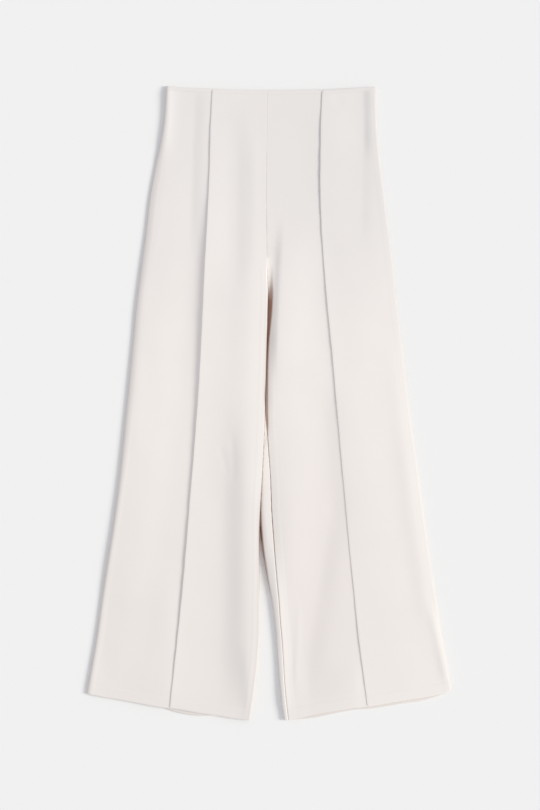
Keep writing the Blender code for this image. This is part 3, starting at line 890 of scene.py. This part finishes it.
def make_mesh(name, faces, places, drops, painted_shade):
    """Join the two faces of a sheet into one closed mesh, with its cut as a UV map in metres."""
    count = places.size
    index = np.arange(count).reshape(places.shape)
    a, b, c, d = index[:-1, :-1], index[:-1, 1:], index[1:, 1:], index[1:, :-1]
    top = np.stack([a, d, c, b], axis=-1).reshape(-1, 4)
    rim = np.concatenate([index[0, :], index[1:, -1], index[-1, -2::-1], index[-2:0:-1, 0]])
    following = np.roll(rim, -1)
    wall = np.stack([rim, following, following + count, rim + count], axis=-1)
    quads = np.concatenate([top, top[:, ::-1] + count, wall])
    points = np.concatenate(faces).reshape(-1, 3) * MILLIMETRE
    halves = [points[quads[:, corners]] for corners in ([0, 1, 2], [0, 2, 3])]
    volume = sum(np.einsum("ij,ij->", t[:, 0], np.cross(t[:, 1], t[:, 2])) for t in halves)
    if volume < 0:
        quads = quads[:, ::-1]
    mesh = bpy.data.meshes.new(name)
    mesh.vertices.add(len(points))
    mesh.vertices.foreach_set("co", points.astype(np.float32).ravel())
    mesh.loops.add(quads.size)
    mesh.loops.foreach_set("vertex_index", quads.astype(np.int32).ravel())
    mesh.polygons.add(len(quads))
    mesh.polygons.foreach_set("loop_start", np.arange(0, quads.size, 4, dtype=np.int32))
    mesh.update(calc_edges=True)
    cut = np.stack([places, drops], axis=-1).reshape(-1, 2) * MILLIMETRE
    layer = mesh.uv_layers.new(name="cut")
    layer.uv.foreach_set("vector", np.concatenate([cut, cut])[quads.ravel()].astype(np.float32).ravel())
    mesh.validate()
    # Painted shade: how far each point's colour is darkened, kept as an attribute for the crepe's material
    sunk = mesh.attributes.new("fold_depth", "FLOAT", "POINT")
    sunk.data.foreach_set("value", np.concatenate([painted_shade.ravel()] * 2).astype(np.float32))
    mesh.shade_smooth()
    mesh.set_sharp_from_angle(angle=SHARP_ANGLE)
    return mesh


def add_node(tree, kind, links=(), **settings):
    """Add a node, or take the one that has this name, with its settings and then its links.

    A setting whose name starts with in_ is an input's value, and one that changes the inputs comes
    before them. A link is the input's name, the node that it comes from and that node's output.
    """
    node = tree.nodes.get(kind) or tree.nodes.new(kind)
    for name, value in settings.items():
        if name.startswith("in_"):
            node.inputs[name[3:].replace("_", " ")].default_value = value
        else:
            setattr(node, name, value)
    for name, source, output in links:
        tree.links.new(source.outputs[output], node.inputs[name])
    return node


def new_material(name):
    """A new material and its node tree."""
    material = bpy.data.materials.new(name)
    material.use_nodes = True
    return material, material.node_tree


def crepe_material(cloth):
    """Stretch crepe: a close knit of crimped polyester yarn, piece dyed ivory and heat set.

    It looks matte and slightly pebbled, takes light softly at grazing angles, and its tone
    drifts very little from place to place. The yarn's crimps are too fine for a picture of the
    whole garment, so the pebbles are drawn coarser than they are, and a little longer down the
    panel than across it.
    """
    material, tree = new_material("ivory_stretch_crepe")
    cut = add_node(tree, "ShaderNodeUVMap", uv_map="cut")
    place = add_node(tree, "ShaderNodeTexCoord")
    mottle = add_node(tree, "ShaderNodeTexNoise", [("Vector", cut, "UV")],
                      in_Scale=1 / (cloth.mottle * MILLIMETRE), in_Detail=3.0, in_Roughness=0.5)
    tone = add_node(tree, "ShaderNodeMix", [("Factor", mottle, "Fac")], data_type="RGBA",
                    in_A=hex_linear(cloth.shade_hex), in_B=hex_linear(cloth.light_hex))
    for patch in TONE_PATCHES:
        spot = add_node(tree, "ShaderNodeMapping", [("Vector", place, "Object")],
                        in_Location=(-patch.x / patch.wide, -patch.y / patch.tall, 0),
                        in_Scale=[1 / (size * MILLIMETRE) for size in (patch.wide, patch.tall)] + [0])
        spread = add_node(tree, "ShaderNodeTexGradient", [("Vector", spot, "Vector")],
                          gradient_type="SPHERICAL")
        share = add_node(tree, "ShaderNodeMapRange", [("Value", spread, "Fac")],
                         interpolation_type="SMOOTHSTEP", in_From_Max=0.75, in_To_Max=patch.amount)
        tone = add_node(tree, "ShaderNodeMix", [("Factor", share, "Result"), ("A", tone, "Result")],
                        data_type="RGBA", in_B=hex_linear(patch.hex))
    # Painted shade: the colour is darkened towards a warm brown in the fold between the legs, along the
    # left inseam, on fold rims and under the hems
    sunk = add_node(tree, "ShaderNodeAttribute", attribute_name="fold_depth")
    tone = add_node(tree, "ShaderNodeMix", [("Factor", sunk, "Fac"), ("A", tone, "Result")],
                    data_type="RGBA", in_B=hex_linear(cloth.painted_shade_hex))
    pebble_sizes = (cloth.grain, cloth.grain * PEBBLE_LENGTH, cloth.grain)
    along = add_node(tree, "ShaderNodeMapping", [("Vector", cut, "UV")],
                     in_Scale=[1 / (size * MILLIMETRE) for size in pebble_sizes])
    pebbles = add_node(tree, "ShaderNodeTexNoise", [("Vector", along, "Vector")],
                       in_Scale=1.0, in_Detail=2.0, in_Roughness=0.6)
    bump = add_node(tree, "ShaderNodeBump", [("Height", pebbles, "Fac")],
                    in_Strength=0.3, in_Distance=0.1 * MILLIMETRE)
    add_node(tree, "Principled BSDF", [("Base Color", tone, "Result"), ("Normal", bump, "Normal")],
             in_Roughness=0.88, in_Specular_IOR_Level=0.25, in_Sheen_Weight=0.12,
             in_Sheen_Roughness=0.6)
    return material


def thread_material(thread):
    """Spun polyester sewing thread, dyed to match: a soft, slightly hairy two-ply cord."""
    material, tree = new_material("spun_polyester_thread")
    place = add_node(tree, "ShaderNodeTexCoord")
    ply = add_node(tree, "ShaderNodeTexNoise", [("Vector", place, "Object")],
                   in_Scale=1 / (thread.thickness / 2 * MILLIMETRE), in_Detail=1.0)
    bump = add_node(tree, "ShaderNodeBump", [("Height", ply, "Fac")],
                    in_Strength=0.3, in_Distance=0.05 * MILLIMETRE)
    tone = add_node(tree, "ShaderNodeMix", [("Factor", ply, "Fac")], data_type="RGBA",
                    in_A=hex_linear(thread.shade_hex), in_B=hex_linear(thread.light_hex))
    add_node(tree, "Principled BSDF", [("Base Color", tone, "Result"), ("Normal", bump, "Normal")],
             in_Roughness=0.7)
    return material


def paper_material(stage):
    """A pale matte paper sweep, with the faint tooth of uncoated stock.

    The real tooth is too fine to show, so it is drawn coarser than it is.
    """
    material, tree = new_material("matte_paper")
    place = add_node(tree, "ShaderNodeTexCoord")
    tooth = add_node(tree, "ShaderNodeTexNoise", [("Vector", place, "Object")],
                     in_Scale=1 / (PAPER_TOOTH * MILLIMETRE), in_Detail=2.0)
    bump = add_node(tree, "ShaderNodeBump", [("Height", tooth, "Fac")],
                    in_Strength=0.1, in_Distance=0.05 * MILLIMETRE)
    add_node(tree, "Principled BSDF", [("Normal", bump, "Normal")],
             in_Base_Color=hex_linear(stage.floor_hex), in_Roughness=0.95, in_Specular_IOR_Level=0.1)
    return material


def legs():
    """Both legs of the trousers."""
    return (
        Leg("right", RIGHT_INSEAM, RIGHT_HEM, RIGHT_CREASES),
        Leg("left", LEFT_INSEAM, LEFT_HEM, LEFT_CREASES),
    )


def link(name, data):
    """A new object in the scene that holds this data."""
    thing = bpy.data.objects.new(name, data)
    bpy.context.scene.collection.objects.link(thing)
    return thing


def cloth_area(mesh):
    """The flat area of a sheet: half the surface of its closed mesh."""
    areas = np.empty(len(mesh.polygons))
    mesh.polygons.foreach_get("area", areas)
    return float(areas.sum() / 2)


def make_panel(leg, panel, cloth, material):
    """Make one panel's cloth."""
    # The panel's painted shade goes into its mesh with its points
    points, outer, painted_shade = build_sheet(leg, panel, cloth)
    mesh = make_mesh(f"{panel}_{leg.name}_cloth", points, outer.places, outer.drops, painted_shade)
    mesh.materials.append(material)
    piece = link(mesh.name, mesh)
    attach(piece, "root")
    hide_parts(f"{panel}_{leg.name}")


def state_sheet(piece, leg, panel):
    """Work out a panel's hem edge, its cut width and its flat area, and keep none of them."""
    hem = [getattr(row, panel) for row in leg.hem]
    width = float(Grid(leg, panel).widths.max()) * MILLIMETRE
    cloth_area(piece.data)


def stitch_tree():
    """The node tree that lays stitches along a route."""
    tree = bpy.data.node_groups.new("stitch_line", "GeometryNodeTree")
    tree.interface.new_socket("Route", in_out="INPUT", socket_type="NodeSocketGeometry")
    for name in ("Pitch", "Length", "Thickness"):
        tree.interface.new_socket(name, in_out="INPUT", socket_type="NodeSocketFloat")
    tree.interface.new_socket("Thread", in_out="INPUT", socket_type="NodeSocketMaterial")
    tree.interface.new_socket("Stitches", in_out="OUTPUT", socket_type="NodeSocketGeometry")
    given = add_node(tree, "NodeGroupInput")
    route = add_node(tree, "GeometryNodeMeshToCurve", [("Mesh", given, "Route")])
    places = add_node(tree, "GeometryNodeCurveToPoints",
                      [("Curve", route, "Curve"), ("Length", given, "Pitch")], mode="LENGTH")
    size = add_node(tree, "ShaderNodeCombineXYZ", [("X", given, "Thickness"), ("Y", given, "Thickness"),
                                                   ("Z", given, "Length")])
    stitch = add_node(tree, "GeometryNodeMeshUVSphere", in_Segments=6, in_Rings=4, in_Radius=0.5)
    laid = add_node(tree, "GeometryNodeInstanceOnPoints",
                    [("Points", places, "Points"), ("Instance", stitch, "Mesh"),
                     ("Rotation", places, "Rotation"), ("Scale", size, "Vector")])
    joined = add_node(tree, "GeometryNodeRealizeInstances", [("Geometry", laid, "Instances")])
    finish = add_node(tree, "GeometryNodeSetMaterial",
                      [("Geometry", joined, "Geometry"), ("Material", given, "Thread")])
    add_node(tree, "NodeGroupOutput", [("Stitches", finish, "Geometry")])
    return tree


def stitch_route(stitching, piece, leg, cloth):
    """Where a line of stitches runs over a panel's outer face."""
    rows = rows_down(cloth)
    points = np.empty(len(piece.data.vertices) * 3)
    piece.data.vertices.foreach_get("co", points)
    face, showing = points.reshape(2, len(rows.zone), -1, 3)[0], rows.depth == 0
    if stitching.name == "tuck":
        columns = [row.column for row in TUCK_EDGE[::leg.inward]]
        return face[showing, TUCK_COLUMN + columns.index(TUCK_STITCH)]
    zone, line = WAIST_ZONE, cloth.waist_turn - EDGE_STITCH
    if stitching.name == "hem":
        zone, line = HEM_ZONE, EDGE_STITCH - cloth.hem_turn
    off = np.where(showing & (rows.zone == zone), np.abs(rows.drop - line), np.inf)
    return face[np.argmin(off)]


def sew(stitching, piece, leg, cloth, thread, tree, material):
    """Sew one line of stitches into a panel, as one mesh that rides with it."""
    route = stitch_route(stitching, piece, leg, cloth)
    half = thread.thickness * MILLIMETRE / 2
    route[:, 2] = np.maximum(route[:, 2], half)
    line = bpy.data.meshes.new("route")
    line.from_pydata(route.tolist(), [(k, k + 1) for k in range(len(route) - 1)], [])
    stitches = link(piece.name.replace("cloth", f"{stitching.name}_stitches"), line)
    modifier = stitches.modifiers.new("stitches", "NODES")
    modifier.node_group = tree
    values = {"Pitch": stitching.pitch * MILLIMETRE, "Length": stitching.length * MILLIMETRE,
              "Thickness": 2 * half, "Thread": material}
    for socket in tree.interface.items_tree:
        if socket.name in values:
            modifier[socket.identifier] = values[socket.name]
    graph = bpy.context.evaluated_depsgraph_get()
    mesh = bpy.data.meshes.new_from_object(stitches.evaluated_get(graph))
    stitches.modifiers.remove(modifier)
    stitches.data = mesh
    bpy.data.meshes.remove(line)
    for vertex in mesh.vertices:
        vertex.co.z = max(vertex.co.z, 0)
    mesh.shade_smooth()
    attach(stitches, "root")
    return stitches


def length_setting(name, description, default, low, high):
    """A length that a user may change. It is given in millimetres and kept in metres."""
    default, low, high = (size * MILLIMETRE for size in (default, low, high))
    return bpy.props.FloatProperty(name=name, description=description, default=default,
                                   min=low, max=high, precision=5, unit="LENGTH")


def colour_setting(name, description, default):
    """A colour that a user may change."""
    return bpy.props.StringProperty(name=name, description=f"{description}, as sRGB hex",
                                    default=default)


def in_millimetres(settings):
    """A group's settings, with its lengths in millimetres."""
    values = {name: getattr(settings, name) for name in type(settings).__annotations__}
    for name in values:
        if settings.bl_rna.properties[name].unit == "LENGTH":
            values[name] /= MILLIMETRE
    return SimpleNamespace(**values)


class ClothSettings(bpy.types.PropertyGroup):
    """The cloth, and how it is turned and tucked."""

    thickness: length_setting("Thickness", "Thickness of the crepe", 1.3, 0.5, 3)
    hem_turn: length_setting("Hem", "Depth of the turned-up hem", 20, 10, 60)
    waist_turn: length_setting("Waist edge", "Depth of the turned waist edge", 8, 5, 20)
    tuck_height: bpy.props.FloatProperty(name="Tuck", default=1.0, min=0.5, max=1.5, subtype="FACTOR",
                                         description="Height of the pintucks, as a share")
    grain: length_setting("Grain", "Size of the crepe's pebbles", 0.9, 0.3, 3)
    mottle: length_setting("Drift", "Size of the slow drift in tone", 70, 10, 300)
    light_hex: colour_setting("Light tone", "The crepe's lighter tone", "#F7F1ED")
    shade_hex: colour_setting("Deep tone", "The crepe's deeper tone", "#F2ECE8")
    # Colour of the painted shade that darkens the crepe in its folds and under its hems
    painted_shade_hex: colour_setting("Fold tone", "The crepe's tone in its narrowest fold", "#8C6A5B")


class ThreadSettings(bpy.types.PropertyGroup):
    """The sewing thread."""

    thickness: length_setting("Thickness", "Thickness of the thread", 0.3, 0.1, 1)
    light_hex: colour_setting("Light tone", "The thread's lighter tone", "#EAE3DC")
    shade_hex: colour_setting("Deep tone", "The thread's deeper tone", "#DCD2C8")


class StageSettings(bpy.types.PropertyGroup):
    """The floor, the light and the camera."""

    floor_hex: colour_setting("Floor", "Colour of the floor", "#F6F6F6")
    key_height: bpy.props.FloatProperty(name="Key height", subtype="ANGLE",
                                        description="Height of the key light above the horizon",
                                        default=math.radians(29))
    key_size: bpy.props.FloatProperty(name="Key size", description="Angle that the key light spans",
                                      subtype="ANGLE", default=math.radians(24))
    key_strength: bpy.props.FloatProperty(name="Key strength", default=2.1, min=0,
                                          description="Strength of the key light")
    fill_strength: bpy.props.FloatProperty(name="Fill strength", default=0.629, min=0,
                                           description="Strength of the light from all round")


class TROUSERS_OT_backs(bpy.types.Operator):
    """Cut and lay out the two back panels"""

    bl_idname = "trousers.backs"
    bl_label = "Backs"

    def execute(self, context):
        cloth = in_millimetres(context.scene.trousers_cloth)
        material = crepe_material(cloth)
        for leg in legs():
            make_panel(leg, "back", cloth, material)
        return {"FINISHED"}


class TROUSERS_OT_fronts(bpy.types.Operator):
    """Cut, tuck and lay out the two front panels"""

    bl_idname = "trousers.fronts"
    bl_label = "Fronts"

    def execute(self, context):
        cloth = in_millimetres(context.scene.trousers_cloth)
        material = bpy.data.materials["ivory_stretch_crepe"]
        for leg in legs():
            make_panel(leg, "front", cloth, material)
        return {"FINISHED"}


class TROUSERS_OT_stitches(bpy.types.Operator):
    """Sew the waist edge, the tucks and the hems"""

    bl_idname = "trousers.stitches"
    bl_label = "Stitches"

    def execute(self, context):
        cloth = in_millimetres(context.scene.trousers_cloth)
        thread = in_millimetres(context.scene.trousers_thread)
        material, tree = thread_material(thread), stitch_tree()
        for leg in legs():
            for panel in ("front", "back"):
                piece = bpy.data.objects[f"{panel}_{leg.name}_cloth"]
                sewn = [sew(kind, piece, leg, cloth, thread, tree, material) for kind in STITCHINGS
                        if panel == "front" or kind.name != "tuck"]
                state_sheet(piece, leg, panel)
        return {"FINISHED"}


class TROUSERS_OT_stage(bpy.types.Operator):
    """Lay the floor and set the light and the camera"""

    bl_idname = "trousers.stage"
    bl_label = "Stage"

    def execute(self, context):
        stage = context.scene.trousers_stage
        corners = [(FLOOR_HALF * x, FLOOR_HALF * y, 0) for x, y in ((-1, -1), (1, -1), (1, 1), (-1, 1))]
        floor_mesh = bpy.data.meshes.new("floor")
        floor_mesh.from_pydata(corners, [], [(0, 1, 2, 3)])
        floor_mesh.materials.append(paper_material(stage))
        floor = link("floor", floor_mesh)

        key = bpy.data.lights.new("key", "SUN")
        key.energy = stage.key_strength
        key.angle = stage.key_size
        key.color = KEY_COLOUR
        lamp = link("key", key)
        direction = Vector((math.cos(stage.key_height), 0, math.sin(stage.key_height)))
        lamp.rotation_euler = direction.to_track_quat("Z", "Y").to_euler()

        world = bpy.data.worlds.new("studio")
        world.use_nodes = True
        add_node(world.node_tree, "Background", in_Color=FILL_COLOUR, in_Strength=stage.fill_strength)
        context.scene.world = world
        context.scene.view_settings.view_transform = "Standard"

        millimetres_a_pixel, middle_column, middle_row = 1.65, 269, 403.5
        frame_width, frame_height = 540, 810
        camera = bpy.data.cameras.new("camera")
        camera.lens, camera.sensor_width = 85, 36
        seat = link("camera", camera)
        distance = camera.lens / camera.sensor_width * frame_height * millimetres_a_pixel
        seat.location = (
            (frame_width / 2 - middle_column) * millimetres_a_pixel * MILLIMETRE,
            (middle_row - frame_height / 2) * millimetres_a_pixel * MILLIMETRE,
            (distance + LOFT / 2) * MILLIMETRE,
        )
        context.scene.camera = seat
        return {"FINISHED"}


class TROUSERS_PT_panel(bpy.types.Panel):
    """Trousers"""

    bl_idname = "TROUSERS_PT_panel"
    bl_label = "Trousers"
    bl_space_type = "VIEW_3D"
    bl_region_type = "UI"
    bl_category = "Trousers"

    def draw(self, context):
        scene = context.scene
        for settings in (scene.trousers_cloth, scene.trousers_thread, scene.trousers_stage):
            box = self.layout.box()
            for name in type(settings).__annotations__:
                box.prop(settings, name)
        for operator in OPERATORS:
            self.layout.operator(operator.bl_idname)


SETTINGS = (ClothSettings, ThreadSettings, StageSettings)
OPERATORS = (TROUSERS_OT_stage, TROUSERS_OT_backs, TROUSERS_OT_fronts, TROUSERS_OT_stitches)


def register():
    """Make the settings, the operators and the panel known to Blender."""
    for kind in SETTINGS + OPERATORS + (TROUSERS_PT_panel,):
        bpy.utils.register_class(kind)
    bpy.types.Scene.trousers_cloth = bpy.props.PointerProperty(type=ClothSettings)
    bpy.types.Scene.trousers_thread = bpy.props.PointerProperty(type=ThreadSettings)
    bpy.types.Scene.trousers_stage = bpy.props.PointerProperty(type=StageSettings)


def unregister():
    """Take them away again."""
    del bpy.types.Scene.trousers_stage
    del bpy.types.Scene.trousers_thread
    del bpy.types.Scene.trousers_cloth
    for kind in (TROUSERS_PT_panel,) + OPERATORS[::-1] + SETTINGS[::-1]:
        bpy.utils.unregister_class(kind)


def main():
    """Set the stage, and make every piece."""
    register()
    bpy.ops.trousers.stage()
    bpy.ops.trousers.backs()
    bpy.ops.trousers.fronts()
    bpy.ops.trousers.stitches()


if __name__ == "__main__":
    main()
